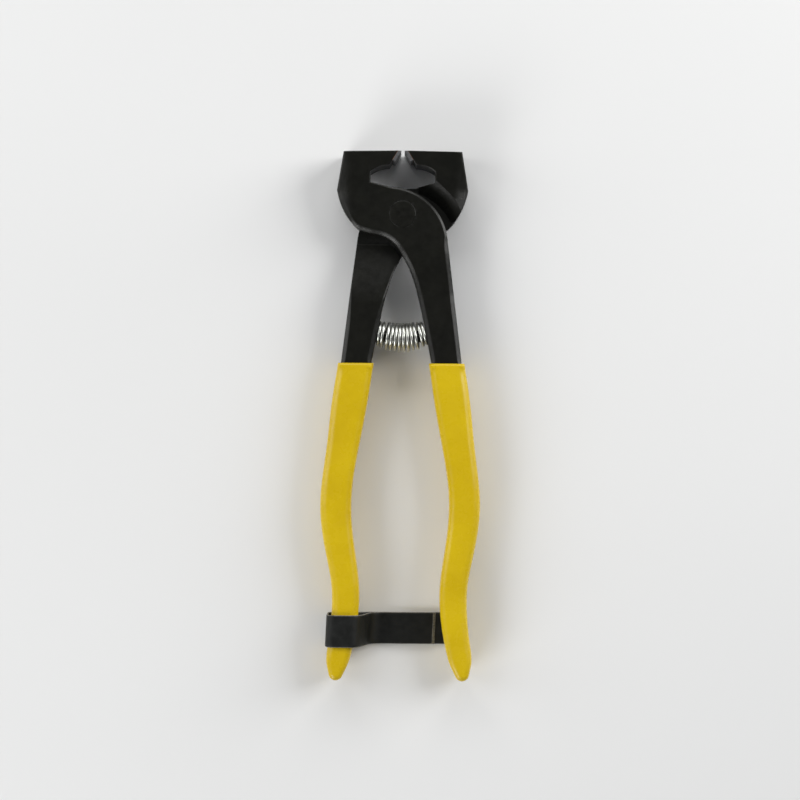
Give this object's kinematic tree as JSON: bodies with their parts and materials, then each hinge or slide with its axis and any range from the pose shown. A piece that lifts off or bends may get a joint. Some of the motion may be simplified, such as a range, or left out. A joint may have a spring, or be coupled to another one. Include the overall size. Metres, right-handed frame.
{
  "type": "tile nippers",
  "caption": "Forged steel tile nippers with carbide-tipped jaws, lap joint, coil return spring, dipped vinyl grips and a leather retaining strap.",
  "frame": {"origin": "pivot axis at the back face of the lap joint", "axes": "+Y towards the jaws, +X to the right handle, +Z along the pivot axis, up from the back face"},
  "size_m": [0.0604, 0.2, 0.018],
  "materials": {
    "forged_steel": "black oxide over forged steel, satin",
    "rivet_steel": "black oxide, satin",
    "carbide": "ground tungsten carbide",
    "braze": "braze, stained",
    "spring_steel": "bright drawn wire",
    "grip_vinyl": "yellow dipped vinyl, semi gloss",
    "strap_leather": "black satin leather"
  },
  "bodies": {
    "rear_half": {"rear_lever": "forged_steel", "rear_carbide_tip": "carbide", "rear_tip_braze": "braze", "rear_spring_peg": "rivet_steel", "rear_grip": "grip_vinyl", "pivot_rivet": "rivet_steel", "return_spring": "spring_steel"},
    "front_half": {"front_lever": "forged_steel", "front_carbide_tip": "carbide", "front_tip_braze": "braze", "front_spring_peg": "rivet_steel", "front_grip": "grip_vinyl"},
    "strap": {"retaining_strap": "strap_leather"}
  },
  "joints": [
    {"name": "pivot", "type": "hinge", "parent": "rear_half", "child": "front_half", "pos_m": [0, 0, 0.007], "axis": [0, 0, 1], "range_deg": [-2.8, 15], "stiffness_Nm_per_rad": 0.4, "deforming": ["return_spring"]},
    {"name": "strap_slide", "type": "slide", "parent": "rear_half", "child": "strap", "axis": [-0.1647, -0.9863, 0], "range_m": [0, 0.035]}
  ]
}
